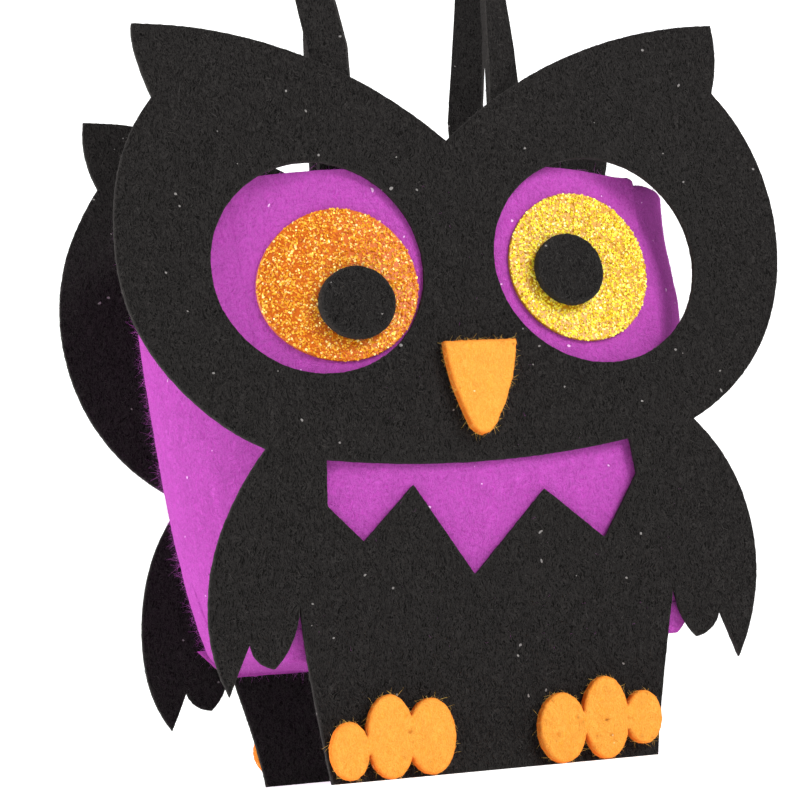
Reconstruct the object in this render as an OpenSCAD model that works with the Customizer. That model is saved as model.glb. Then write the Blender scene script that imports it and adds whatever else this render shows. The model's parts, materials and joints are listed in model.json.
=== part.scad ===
// Owl treat bag of die-cut felt: two owl-shaped panels with a soft pouch between them.
// It stands on the lower edges of its panels. +Z is up and the front faces -Y.
// The origin is on the ground, under the middle of the bag.

/* [Felt] */
// Thickness of the black panel felt
panel_t = 1.6; // [1.2:0.1:2]
// Thickness of the purple pouch felt
pouch_t = 1.6; // [1.2:0.1:1.8]
// Thickness of the beak, feet and pupils
trim_t = 3.2; // [2:0.1:4]
// Thickness of the glitter discs
glitter_t = 1.2; // [0.8:0.1:1.4]

/* [Bag] */
// Distance between the outer faces of the two panels
bag_depth = 68; // [60:1:76]
// Height of the pouch rim above the ground
rim_z = 128.5; // [124:0.5:129]
// Height of the pouch base above the ground
base_z = 25.4; // [24:0.2:30]
// Half the width of the pouch at its rim
rim_half = 49; // [46:0.5:50]
// Half the width of the pouch at its base
base_half = 43; // [40:0.5:45]
// Height of the tab by which the base is glued to a panel
tab_h = 6.6; // [4:0.2:8]

/* [Face] */
// Radius of the eye holes
eye_hole_r = 23; // [22.5:0.1:24]
// Radius of the glitter discs
iris_r = 16.7; // [14:0.1:18]
// Radius of the pupils
pupil_r = 7.9; // [6:0.1:9]
// Width of the beak along its top
beak_w = 16; // [12:0.5:18]
// Height of the beak
beak_h = 20.2; // [16:0.2:22]
// How far the beak leans to one side, as a share of its height
beak_lean = 0.08; // [-0.1:0.02:0.1]

/* [Handles] */
// Width of the handle strap
strap_w = 8.5; // [7:0.5:9]
// Distance between the two ends of the front handle, middle to middle
front_handle_span = 39; // [36:0.5:42]
// Distance between the two ends of the rear handle, middle to middle
rear_handle_span = 36.5; // [36:0.5:42]
// Height of the top of the handles above the ground
handle_top = 240; // [220:1:260]
// How far the front handle sits to one side of the middle
front_handle_shift = -4; // [-5:0.5:5]
// How far the rear handle sits to one side of the middle
rear_handle_shift = 9; // [-9:0.5:9]
// How far the top of the front handle leans to one side
front_handle_lean = -8; // [-10:0.5:10]
// How far one rear foot is glued further out than its twin in front
rear_foot_shift = 1.2; // [0:0.1:2]

/* [Hidden] */

black_felt = [0.10, 0.10, 0.11];
purple_felt = [0.58, 0.17, 0.62];
orange_felt = [1.0, 0.62, 0.17];
glitter = [0.95, 0.62, 0.12];

// Steps in each curved stretch of an outline
arc_steps = 10;
// Steps round each lobe of a foot
lobe_steps = 28;

// Layers of the front, from its outer face inwards
panel_y = -bag_depth / 2;
sheet_y = panel_y + panel_t;
strap_y = sheet_y + pouch_t;

// The owl's outline, right half, from the notch between the ears to the foot
head_notch = [0, 134];
brow = [27, 151.6];
ear_tip = [65, 160];
ear_side = [65.2, 152];
ear_notch = [63.5, 144.2];
cheek = [75, 112.5];
neck = [48.5, 70.5];
wing_side = [60.9, 43];
wing_tip = [56.3, 19.3];
wing_notch = [52, 29.6];
feather_side = [50, 25.8];
feather_tip = [46.7, 24.2];
feather_inside = [43.5, 28.6];
slit_top = [41.6, 36.6];
foot_corner = [36, 0];

// The window in the chest: its curved top, then its torn lower edge from right to left
window_left = [-33.8, 65.7];
window_top = [0, 63.8];
window_right = [33.3, 67];
torn_edge = [[34.3, 59.6], [26.3, 46.3], [13.2, 57.3], [-3.1, 40.4], [-15.6, 59.6],
    [-26.8, 48.6], [-34.2, 56.2]];

eye_hole_at = [31, 106.7];
left_iris_at = [-26.3, 103.1];
right_iris_at = [28.2, 105.7];
left_pupil_at = [-23.8, 98.6];
right_pupil_at = [24.7, 104.7];
beak_at = [1.3, 89.2];

// Lobes of each foot: across, up, half width, half height
left_lobes = [[-32.4, 6.5, 4.1, 5.9], [-23.7, 8.7, 5.1, 8.6], [-14.9, 8.1, 5.2, 7.8]];
right_lobes = [[32.2, 8.2, 4.1, 5.6], [23.7, 8.8, 5.1, 8.6], [13.9, 7.4, 5.2, 7.3]];

// The pouch's sheets stop short of each other, so that each fold can close
sheet_foot_z = base_z + tab_h + 0.6;
gusset_foot_z = base_z + pouch_t + 0.8;
gusset_top_z = rim_z - 1.5;
fold_y = -strap_y - 1.1;
crease_gap = 0.3;
tab_half = base_half + 6;
rim_corner_r = 7;

// The handle turns above the panel's top edge
strap_foot_z = 100;
strap_top_z = 154;
loop_foot_z = 156;
loop_rings = 22;
// How far each leg of the handle flares out, low down and near the top, and how high the low flare is
low_flare = 2.5;
top_flare = 8;
flare_rise = 34;
twist_at_foot = 25;

function circle_centre(a, b, c) =
    let (d = 2 * (a.x * (b.y - c.y) + b.x * (c.y - a.y) + c.x * (a.y - b.y)))
    [(a * a * (b.y - c.y) + b * b * (c.y - a.y) + c * c * (a.y - b.y)) / d,
     (a * a * (c.x - b.x) + b * b * (a.x - c.x) + c * c * (b.x - a.x)) / d];

// Points on the circle from a through b, up to but without c
function arc(a, b, c, n = arc_steps) =
    let (o = circle_centre(a, b, c),
         start = atan2(a.y - o.y, a.x - o.x),
         turn = atan2(c.y - o.y, c.x - o.x) - start,
         left = cross([b.x - a.x, b.y - a.y], [c.x - b.x, c.y - b.y]) > 0,
         sweep = left ? (turn <= 0 ? turn + 360 : turn) : (turn >= 0 ? turn - 360 : turn))
    [for (i = [0 : n - 1])
        o + norm(a - o) * [cos(start + sweep * i / n), sin(start + sweep * i / n)]];

// A half outline whose first point, and last if it is there too, lies on the middle line
function with_mirror(half) =
    concat(half, [for (i = [len(half) - 1 : -1 : 1]) if (half[i].x > 0) [-half[i].x, half[i].y]]);

function oval(x, z, half_w, half_h) =
    [for (i = [0 : lobe_steps - 1])
        [x + half_w * cos(360 * i / lobe_steps), z + half_h * sin(360 * i / lobe_steps)]];

// Half the width of the pouch at height z
function pouch_half(z) = base_half + (rim_half - base_half) * (z - base_z) / (rim_z - base_z);

function bezier(a, b, c, d, t) =
    pow(1 - t, 3) * a + 3 * t * pow(1 - t, 2) * b + 3 * t * t * (1 - t) * c + pow(t, 3) * d;

// The handle's middle line, from its left end over the top, and the strap's turn along it
function loop_half(t, span) =
    bezier([-span / 2, loop_foot_z], [-span / 2 - low_flare, loop_foot_z + flare_rise],
        [-span / 2 - top_flare, handle_top], [0, handle_top - pouch_t / 2], t);
function loop_point(i, span, lean) =
    let (rising = i <= loop_rings,
         p = loop_half(rising ? i / loop_rings : 2 - i / loop_rings, span))
    [(rising ? p.x : -p.x) + lean * (p.y - loop_foot_z) / (handle_top - loop_foot_z), p.y];
function loop_twist(i) =
    twist_at_foot + (90 - twist_at_foot) * sin(90 * (1 - abs(1 - i / loop_rings)));

// Stands an outline drawn across and up as a plate whose outer face is at y
module plate(y, thickness) {
    translate([0, y + thickness, 0])
        rotate([90, 0, 0])
            linear_extrude(thickness)
                children();
}

module turned() {
    rotate([0, 0, 180])
        children();
}

module owl_outline() {
    polygon(with_mirror(concat(
        arc(head_notch, brow, ear_tip),
        arc(ear_tip, ear_side, ear_notch, 4),
        arc(ear_notch, cheek, neck, 18),
        arc(neck, wing_side, wing_tip, 12),
        [wing_tip],
        arc(wing_notch, feather_side, feather_tip, 5),
        arc(feather_tip, feather_inside, slit_top, 6),
        [slit_top, foot_corner])));
}

module chest_window() {
    polygon(concat(arc(window_left, window_top, window_right), [window_right], torn_edge));
}

module panel() {
    color(black_felt)
        difference() {
            plate(panel_y, panel_t)
                owl_outline();
            plate(panel_y - 1, panel_t + 2)
                chest_window();
            for (side = [-1, 1])
                translate([side * eye_hole_at.x, panel_y - 1, eye_hole_at.y])
                    rotate([-90, 0, 0])
                        cylinder(r = eye_hole_r, h = panel_t + 2, $fn = 96);
        }
}

module pouch_sheet() {
    top_half = pouch_half(rim_z);
    foot_half = pouch_half(sheet_foot_z);
    corner = [top_half - 0.3 * rim_corner_r, rim_z - 0.3 * rim_corner_r];
    color(purple_felt)
        plate(sheet_y, pouch_t)
            polygon(with_mirror(concat(
                [[0, rim_z]],
                arc([top_half - rim_corner_r, rim_z], corner, [top_half, rim_z - rim_corner_r], 6),
                [[top_half, rim_z - rim_corner_r], [foot_half, sheet_foot_z]])));
}

module base_tab() {
    color(purple_felt)
        plate(sheet_y, pouch_t)
            polygon([[-base_half, base_z], [base_half, base_z], [tab_half, base_z + tab_h],
                [-tab_half, base_z + tab_h]]);
}

module disc(at, y, r, thickness) {
    translate([at.x, y, at.y])
        rotate([90, 0, 0])
            cylinder(r = r, h = thickness, $fn = 72);
}

module iris(at) {
    color(glitter)
        disc(at, sheet_y, iris_r, glitter_t);
}

module pupil(at) {
    color(black_felt)
        disc(at, sheet_y - glitter_t, pupil_r, trim_t);
}

module beak() {
    half = concat(
        [[0, 0]],
        arc([beak_w / 2, 0], [beak_w * 0.38, -beak_h / 2], [beak_w * 0.21, -beak_h * 0.83], 6),
        arc([beak_w * 0.21, -beak_h * 0.83], [beak_w * 0.13, -beak_h * 0.94], [0, -beak_h], 4),
        [[0, -beak_h]]);
    color(orange_felt)
        translate([beak_at.x, 0, beak_at.y])
            plate(panel_y - trim_t, trim_t)
                polygon([for (p = with_mirror(half)) [p.x + beak_lean * p.y, p.y]]);
}

module foot(lobes) {
    color(orange_felt)
        plate(panel_y - trim_t, trim_t)
            for (lobe = lobes)
                polygon(oval(lobe[0], lobe[1], lobe[2], lobe[3]));
}

module strap_end(x) {
    color(black_felt)
        translate([x - strap_w / 2, strap_y, strap_foot_z])
            cube([strap_w, pouch_t, strap_top_z - strap_foot_z]);
}

// One ring of the handle: the corners of the strap's section at step i
function loop_ring(i, shift, span, lean) =
    let (p = loop_point(i, span, lean),
         ahead = loop_point(min(i + 1, 2 * loop_rings), span, lean),
         behind = loop_point(max(i - 1, 0), span, lean),
         along = [ahead.x - behind.x, 0, ahead.y - behind.y] / norm(ahead - behind),
         outward = [-along.z, 0, along.x],
         face = [0, -cos(loop_twist(i)), 0] + sin(loop_twist(i)) * outward,
         across = cross(along, face),
         middle = [p.x + shift, strap_y + pouch_t / 2, p.y])
    [for (c = [[-1, -1], [1, -1], [1, 1], [-1, 1]])
        middle + c.x * across * strap_w / 2 + c.y * face * pouch_t / 2];

module handle(shift, span, lean) {
    last = 2 * loop_rings;
    points = [for (i = [0 : last]) each loop_ring(i, shift, span, lean)];
    sides = [for (i = [0 : last - 1]) for (k = [0 : 3])
        let (here = 4 * i + k, beside = 4 * i + (k + 1) % 4)
        each [[here, beside, beside + 4], [here, beside + 4, here + 4]]];
    ends = [[3, 2, 1], [3, 1, 0], [4 * last, 4 * last + 1, 4 * last + 2],
        [4 * last, 4 * last + 2, 4 * last + 3]];
    color(black_felt)
        polyhedron(points, concat(sides, ends));
}

// Half of a side sheet, from the front or rear fold to the crease in the middle
module gusset(side, end) {
    long = fold_y - crease_gap / 2;
    foot_x = pouch_half(gusset_foot_z);
    top_x = pouch_half(gusset_top_z);
    color(purple_felt)
        plate(end < 0 ? -fold_y : crease_gap / 2, long)
            polygon([for (p = [[foot_x - pouch_t, gusset_foot_z], [foot_x, gusset_foot_z],
                [top_x, gusset_top_z], [top_x - pouch_t, gusset_top_z]]) [side * p.x, p.y]]);
}

module base_half_sheet(end) {
    long = fold_y - crease_gap / 2;
    color(purple_felt)
        translate([-base_half, end < 0 ? -fold_y : crease_gap / 2, base_z])
            cube([2 * base_half, long, pouch_t]);
}

panel();  // front_panel
pouch_sheet();  // front_pouch_sheet
base_tab();  // front_base_tab
iris(left_iris_at);  // front_iris_left
iris(right_iris_at);  // front_iris_right
pupil(left_pupil_at);  // front_pupil_left
pupil(right_pupil_at);  // front_pupil_right
beak();  // front_beak
foot(left_lobes);  // front_foot_left
foot(right_lobes);  // front_foot_right
strap_end(front_handle_shift - front_handle_span / 2);  // front_strap_left
strap_end(front_handle_shift + front_handle_span / 2);  // front_strap_right
handle(front_handle_shift, front_handle_span, front_handle_lean);  // front_handle
turned() panel();  // rear_panel
turned() pouch_sheet();  // rear_pouch_sheet
turned() base_tab();  // rear_base_tab
turned() iris(right_iris_at);  // rear_iris_left
turned() iris(left_iris_at);  // rear_iris_right
turned() pupil(right_pupil_at);  // rear_pupil_left
turned() pupil(left_pupil_at);  // rear_pupil_right
turned() beak();  // rear_beak
turned() translate([rear_foot_shift, 0, 0]) foot(right_lobes);  // rear_foot_left
turned() foot(left_lobes);  // rear_foot_right
turned() strap_end(rear_handle_span / 2 - rear_handle_shift);  // rear_strap_left
turned() strap_end(-rear_handle_span / 2 - rear_handle_shift);  // rear_strap_right
turned() handle(-rear_handle_shift, rear_handle_span, 0);  // rear_handle
gusset(-1, -1);  // gusset_left_front
gusset(-1, 1);  // gusset_left_rear
gusset(1, -1);  // gusset_right_front
gusset(1, 1);  // gusset_right_rear
base_half_sheet(-1);  // base_front_half
base_half_sheet(1);  // base_rear_half
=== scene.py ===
"""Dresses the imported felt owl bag: felt panels, a soft pouch, glitter eyes, trim and strap handles.

Every piece is made in the frame's own metres. A piece of the front or the rear is worked out in
local places, as seen by somebody who faces that side: x to the right, y into the bag, z up.
"""

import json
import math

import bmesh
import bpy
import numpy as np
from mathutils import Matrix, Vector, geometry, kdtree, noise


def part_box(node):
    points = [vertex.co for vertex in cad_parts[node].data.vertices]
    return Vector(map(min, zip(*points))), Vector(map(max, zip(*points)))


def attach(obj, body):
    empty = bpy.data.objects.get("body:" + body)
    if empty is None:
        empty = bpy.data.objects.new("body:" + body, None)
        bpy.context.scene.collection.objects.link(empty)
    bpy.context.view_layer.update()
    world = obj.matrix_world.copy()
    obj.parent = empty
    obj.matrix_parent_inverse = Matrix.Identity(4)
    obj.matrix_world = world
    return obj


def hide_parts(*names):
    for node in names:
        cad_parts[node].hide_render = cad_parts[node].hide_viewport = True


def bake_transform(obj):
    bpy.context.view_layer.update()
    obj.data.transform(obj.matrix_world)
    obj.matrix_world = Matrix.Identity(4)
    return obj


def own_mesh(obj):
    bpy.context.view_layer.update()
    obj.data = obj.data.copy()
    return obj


bl_info = {
    "name": "Felt Owl Treat Bag",
    "version": (1, 0, 0),
    "blender": (4, 5, 0),
    "location": "View3D > Sidebar > Owl Bag",
    "description": "Makes the soft felt pieces of an owl-shaped treat bag round its frame",
    "category": "Add Mesh",
}

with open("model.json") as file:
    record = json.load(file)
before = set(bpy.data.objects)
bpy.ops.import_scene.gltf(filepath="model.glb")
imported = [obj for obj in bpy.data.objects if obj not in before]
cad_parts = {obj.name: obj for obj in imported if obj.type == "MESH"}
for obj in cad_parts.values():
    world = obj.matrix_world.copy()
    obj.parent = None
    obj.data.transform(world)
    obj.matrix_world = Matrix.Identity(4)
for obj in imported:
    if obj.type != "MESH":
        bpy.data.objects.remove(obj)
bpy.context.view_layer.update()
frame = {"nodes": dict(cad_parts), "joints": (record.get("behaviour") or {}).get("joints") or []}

MM = 0.001
ENDS = ("front", "rear")
SIDES = {"left": -1, "right": 1}
JOINTS = {joint["name"]: joint for joint in frame["joints"]}

# Places that the frame gives
RIM_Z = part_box("front_pouch_sheet")[1].z
SHEET_FOOT_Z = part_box("front_pouch_sheet")[0].z
BASE_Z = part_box("base_front_half")[0].z
RIM_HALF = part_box("front_pouch_sheet")[1].x
BASE_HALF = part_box("base_front_half")[1].x
POUCH_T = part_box("base_front_half")[1].z - BASE_Z
SHEET_Y = sum(corner.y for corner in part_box("front_pouch_sheet")) / 2
CREASE_GAP = -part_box("base_front_half")[1].y
PANEL_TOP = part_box("front_panel")[1].z
NECK_Z = 0.44 * PANEL_TOP
STRAP_FOOT_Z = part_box("front_strap_left")[0].z
STRAP_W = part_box("front_strap_left")[1].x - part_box("front_strap_left")[0].x
STRAP_Y = sum(corner.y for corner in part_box("front_strap_left")) / 2
LOOP_FOOT_Z = JOINTS["front_handle_swing"]["pos_m"][2]
HANDLE_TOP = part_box("front_handle")[1].z


def smooth(t):
    t = np.clip(t, 0, 1)
    return t * t * (3 - 2 * t)


def bump(x, reach):
    """One where x is nought, and less with distance."""
    return np.exp(-((x / reach) ** 2))


def bezier(t, a, b, c, d):
    return (1 - t) ** 3 * a + 3 * t * (1 - t) ** 2 * b + 3 * t * t * (1 - t) * c + t**3 * d


# ---------------------------------------------------------------- settings


def length(name, description, default, low, high):
    """A length, with its default and limits in millimetres."""
    return bpy.props.FloatProperty(
        name=name, description=description, default=default * MM, min=low * MM, max=high * MM,
        unit="LENGTH")


class OwlBagSizes(bpy.types.PropertyGroup):
    panel_bulge: length(
        "Panel bulge", "How far the pouch pushes the panels outwards at the owl's neck", 5.0, 0, 8)
    foot_tuck: length(
        "Foot tuck", "How far the panels' lower edges are drawn under the bag", 4.0, 0, 6)
    sheet_curve: length(
        "Sheet curve", "How far the pouch's rim corners stand back from the panel", 9.5, 0, 12)
    side_bulge: length(
        "Side bulge", "How far the pouch's sides stand out near the rim", 15.8, 0, 18)
    rear_sag: length("Rear sag", "How far the rear panel has settled", 3.0, 0, 6)
    felt_step: length("Felt step", "Spacing of the points across a felt panel", 2.0, 1, 5)
    fibre_length: length(
        "Fibre length", "Length of the loose fibres on the purple felt", 2.4, 0.5, 4)
    glitter_size: length("Glitter size", "Radius of a flake of glitter", 0.27, 0.1, 0.5)


def colour(name, description, default):
    return bpy.props.FloatVectorProperty(
        name=name, description=description, default=default, min=0, max=1, size=3, subtype="COLOR")


class OwlBagColours(bpy.types.PropertyGroup):
    black: colour("Black felt", "Ground colour of the panels", (0.0086, 0.0079, 0.0077))
    black_fibre: colour(
        "Black felt's fibres", "Lighter fibres in the black felt", (0.056, 0.052, 0.050))
    purple: colour("Purple felt", "Ground colour of the pouch", (0.41, 0.053, 0.37))
    purple_fibre: colour(
        "Purple felt's fibres", "Lighter fibres in the purple felt", (0.56, 0.13, 0.55))
    orange: colour("Orange felt", "Ground colour of the beak and feet", (0.80, 0.30, 0.036))
    orange_fibre: colour(
        "Orange felt's fibres", "Lighter fibres in the orange felt", (0.96, 0.47, 0.10))
    # Painted shade: a deeper orange painted on the trim's cut edges, standing in for the shade on its
    # sides
    orange_edge_shade: colour(
        "Orange felt's cut edge", "Colour of the orange felt's sides", (0.88, 0.15, 0.010))


def sizes():
    return bpy.context.scene.owl_bag_sizes


def colours():
    return bpy.context.scene.owl_bag_colours


# ---------------------------------------------------------------- meshes


def in_world(points, end):
    """Local places of the front or the rear as places in the frame."""
    points = np.array(points, float)
    if end == "rear":
        points[:, :2] *= -1
    return points


def band(near, far, flip=False):
    """Faces between two closed rings of points."""
    pairs = [(k, (k + 1) % len(near)) for k in range(len(near))]
    if flip:
        pairs = [(m, k) for k, m in pairs]
    return [(near[a], near[b], far[b], far[a]) for a, b in pairs]


def mesh_piece(name, points, faces, wall=None):
    mesh = bpy.data.meshes.new(name)
    mesh.from_pydata([tuple(p) for p in points], [], faces)
    mesh.polygons.foreach_set("use_smooth", [True] * len(mesh.polygons))
    if wall is not None:
        layer = mesh.attributes.new("wall", "FLOAT", "POINT")
        layer.data.foreach_set("value", np.asarray(wall, np.float32))
    made = bmesh.new()
    made.from_mesh(mesh)
    bmesh.ops.recalc_face_normals(made, faces=made.faces)
    made.to_mesh(mesh)
    made.free()
    mesh.update()
    piece = bpy.data.objects.new(name, mesh)
    bpy.context.scene.collection.objects.link(piece)
    return piece


def outline_loops(node, end):
    """The loops round a CAD plate's outer face, in local millimetres, with the felt on their left."""
    plate = bmesh.new()
    plate.from_mesh(frame["nodes"][node].data)
    bmesh.ops.remove_doubles(plate, verts=plate.verts, dist=1e-6)
    outward = Vector((0, -1 if end == "front" else 1, 0))
    flat = {face for face in plate.faces if face.normal.dot(outward) > 0.99}
    rim = {edge for edge in plate.edges if sum(face in flat for face in edge.link_faces) == 1}
    across = 1 if end == "front" else -1
    loops = []
    while rim:
        edge = min(rim, key=lambda e: e.index)
        start, here = edge.verts
        loop = [start]
        rim.discard(edge)
        while here != start:
            loop.append(here)
            edge = next(e for e in here.link_edges if e in rim)
            rim.discard(edge)
            here = edge.other_vert(here)
        loops.append([Vector((across * v.co.x / MM, v.co.z / MM)) for v in loop])
    plate.free()
    areas = [sum(a.cross(b) for a, b in zip(p, p[1:] + p[:1])) / 2 for p in loops]
    outer = max(areas, key=abs)
    return [
        loop if (area > 0) == (abs(area) == abs(outer)) else loop[::-1]
        for loop, area in zip(loops, areas)
    ]


def rounded_loop(points, step, corner=24):
    """The loop with points every step or so, curved where it turns by less than corner degrees."""
    count = len(points)

    def is_corner(i):
        before, after = points[i] - points[i - 1], points[(i + 1) % count] - points[i]
        return abs(before.angle_signed(after)) > math.radians(corner)

    corners = [is_corner(i) for i in range(count)]
    made = []
    for i in range(count):
        a, b = points[i], points[(i + 1) % count]
        chord = (b - a).length
        along = (b - a).normalized()
        leave = along if corners[i] else ((a - points[i - 1]).normalized() + along).normalized()
        j = (i + 1) % count
        beyond = (points[(j + 1) % count] - b).normalized()
        arrive = along if corners[j] else (along + beyond).normalized()
        steps = max(1, round(chord / step))
        for k in range(steps):
            t = k / steps
            made.append(
                (2 * t**3 - 3 * t**2 + 1) * a + (t**3 - 2 * t**2 + t) * chord * leave
                + (3 * t**2 - 2 * t**3) * b + (t**3 - t**2) * chord * arrive)
    return np.array(made)


def gap_to(points, loop):
    """The distance of each point from a closed loop."""
    a, b = loop[None, :, :], np.roll(loop, -1, axis=0)[None, :, :]
    chord = b - a
    t = ((points[:, None, :] - a) * chord).sum(2) / np.maximum((chord**2).sum(2), 1e-12)
    nearest = a + np.clip(t, 0, 1)[:, :, None] * chord
    return np.linalg.norm(points[:, None, :] - nearest, axis=2).min(1)


def inset(loop, distance):
    """The loop moved into the felt, evened out where a narrow tip leaves it no room."""
    if distance == 0:
        return loop
    along = np.roll(loop, -1, axis=0) - np.roll(loop, 1, axis=0)
    along /= np.maximum(np.linalg.norm(along, axis=1), 1e-9)[:, None]
    moved = loop + distance * np.stack([-along[:, 1], along[:, 0]], axis=1)
    good = np.flatnonzero(gap_to(moved, loop) > 0.93 * distance)
    count = len(loop)
    index = np.concatenate([good, [good[0] + count]])
    return np.stack([
        np.interp(np.arange(good[0], good[0] + count), index, moved[index % count, k]) for k in (0, 1)
    ], axis=1)[(np.arange(count) - good[0]) % count]


def ragged(loop, amount, seed):
    """The loop with the small waver of a die's cut through fibres."""
    shift = [
        amount * noise.noise(Vector((p[0] * 0.9, p[1] * 0.9, seed)))
        + 0.5 * amount * noise.noise(Vector((p[0] * 3.1, p[1] * 3.1, seed + 7)))
        for p in loop
    ]
    ahead = np.roll(loop, -1, axis=0) - np.roll(loop, 1, axis=0)
    ahead /= np.maximum(np.linalg.norm(ahead, axis=1), 1e-9)[:, None]
    return loop + np.array(shift)[:, None] * np.stack([-ahead[:, 1], ahead[:, 0]], axis=1)


def inside(points, loops):
    """Which points the loops enclose, holes left out."""
    crossings = np.zeros(len(points), int)
    for loop in loops:
        for a, b in zip(loop, np.roll(loop, -1, axis=0)):
            spans = (a[1] > points[:, 1]) != (b[1] > points[:, 1])
            if spans.any():
                x = a[0] + (points[:, 1] - a[1]) * (b[0] - a[0]) / (b[1] - a[1] + 1e-30)
                crossings += spans & (points[:, 0] < x)
    return crossings % 2 == 1


def filled(loops, step):
    """Points and triangles that fill the loops. The loops' own points come first, in order."""
    rim = np.concatenate(loops)
    low, high = rim.min(0), rim.max(0)
    rows = np.arange(low[1], high[1], step * 0.87)
    grid = np.array([
        (x, z) for i, z in enumerate(rows)
        for x in np.arange(low[0] + (i % 2) * step / 2, high[0], step)
    ])
    grid = grid[inside(grid, loops)]
    tree = kdtree.KDTree(len(rim))
    for i, p in enumerate(rim):
        tree.insert((p[0], p[1], 0), i)
    tree.balance()
    grid = grid[[tree.find((p[0], p[1], 0))[2] > 0.55 * step for p in grid]]
    points = np.concatenate([rim, grid])
    edges, first = [], 0
    for loop in loops:
        n = len(loop)
        edges += [(first + i, first + (i + 1) % n) for i in range(n)]
        first += n
    made, _, triangles, sources, _, _ = geometry.delaunay_2d_cdt(
        [Vector(p) for p in points], edges, [], 0, 1e-6)
    if len(made) != len(points):
        raise RuntimeError("the loops of a felt plate cross each other")
    given = np.array([s[0] for s in sources])
    triangles = given[np.array([t for t in triangles if len(t) == 3])]
    keep = inside(points[triangles].mean(1), loops)
    return points, triangles[keep]


def felt_plate(node, end, rounding, edge_step, step, seed, waver=0.09, relief=0.10, dimples=0.0):
    """Local points, faces and wall mask of a felt plate with rounded edges, from a CAD plate."""
    low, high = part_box(node)
    outer_y, inner_y = (low.y, high.y) if end == "front" else (-high.y, -low.y)
    outer_y, inner_y = outer_y / MM, inner_y / MM
    loops = [
        ragged(rounded_loop(loop, edge_step), waver, seed) for loop in outline_loops(node, end)
    ]
    steps = 4
    turns = [math.radians(90 * k / steps) for k in range(steps)]
    flat, triangles = filled([inset(loop, rounding) for loop in loops], step)
    count = len(flat)

    def surface(y, sign):
        bumps = np.array([
            relief * noise.fractal(Vector((x * 0.35, z * 0.35, seed + y)), 0.8, 2.0, 3)
            + dimples * min(0, noise.noise(Vector((x * 1.5, z * 1.5, seed + 3))) + 0.15)
            * noise.noise(Vector((x * 0.9, z * 0.9, seed))) ** 2 * 8
            for x, z in flat
        ])
        return np.stack([flat[:, 0], y - sign * bumps, flat[:, 1]], axis=1)

    parts, faces, wall = [surface(outer_y, 1), surface(inner_y, -1)], [], [0.0] * (2 * count)
    faces += [tuple(int(i) for i in t) for t in triangles]
    faces += [tuple(int(i) + count for i in t[::-1]) for t in triangles]
    rings, total = [range(0, sum(map(len, loops)))], 2 * count
    profile = [(t, outer_y, 1) for t in turns[::-1]] + [(t, inner_y, -1) for t in turns]
    for turn, y, sign in profile:
        back = sign * rounding * (1 - math.sin(turn))
        ring = np.concatenate([inset(loop, rounding * (1 - math.cos(turn))) for loop in loops])
        parts.append(np.stack([ring[:, 0], np.full(len(ring), y + back), ring[:, 1]], axis=1))
        wall += [1.0 - 0.8 * math.sin(turn)] * len(ring)
        rings.append(range(total, total + len(ring)))
        total += len(ring)
    rings.append(range(count, count + len(rings[0])))
    first = 0
    for loop in loops:
        n = len(loop)
        for near, far in zip(rings, rings[1:]):
            faces += band(near[first:first + n], far[first:first + n])
        first += n
    return np.concatenate(parts) * MM, faces, wall


def felt_shell(grid, thickness):
    """Points, faces and wall mask of a closed felt sheet about a grid of middle points."""
    rows, columns = grid.shape[:2]
    across, up = np.gradient(grid, axis=1), np.gradient(grid, axis=0)
    normal = np.cross(across, up)
    normal /= np.maximum(np.linalg.norm(normal, axis=2), 1e-12)[:, :, None]
    half = thickness / 2
    outer, inner = grid + normal * half, grid - normal * half
    index = np.arange(rows * columns).reshape(rows, columns)
    count = rows * columns
    faces = []
    for i in range(rows - 1):
        for j in range(columns - 1):
            a, b, c, d = index[i, j], index[i, j + 1], index[i + 1, j + 1], index[i + 1, j]
            faces.append((a, b, c, d))
            faces.append((d + count, c + count, b + count, a + count))
    border = (
        [(0, j) for j in range(columns - 1)] + [(i, columns - 1) for i in range(rows - 1)]
        + [(rows - 1, j) for j in range(columns - 1, 0, -1)] + [(i, 0) for i in range(rows - 1, 0, -1)])
    rim = np.array([grid[i, j] for i, j in border])
    within = np.array([
        grid[min(max(i, 1), rows - 2), min(max(j, 1), columns - 2)] for i, j in border])
    outward = rim - within
    outward /= np.maximum(np.linalg.norm(outward, axis=1), 1e-12)[:, None]
    side = np.array([normal[i, j] for i, j in border])
    parts = [outer.reshape(-1, 3), inner.reshape(-1, 3)]
    wall = [0.0] * (2 * count)
    rings, total = [[int(index[i, j]) for i, j in border]], 2 * count
    for turn in (45, 90, 135):
        t = math.radians(turn)
        parts.append(rim + side * half * math.cos(t) + outward * half * 0.8 * math.sin(t))
        wall += [1.0] * len(rim)
        rings.append(list(range(total, total + len(rim))))
        total += len(rim)
    rings.append([k + count for k in rings[0]])
    for near, far in zip(rings, rings[1:]):
        faces += band(near, far, flip=True)
    return np.concatenate(parts), faces, wall


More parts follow.
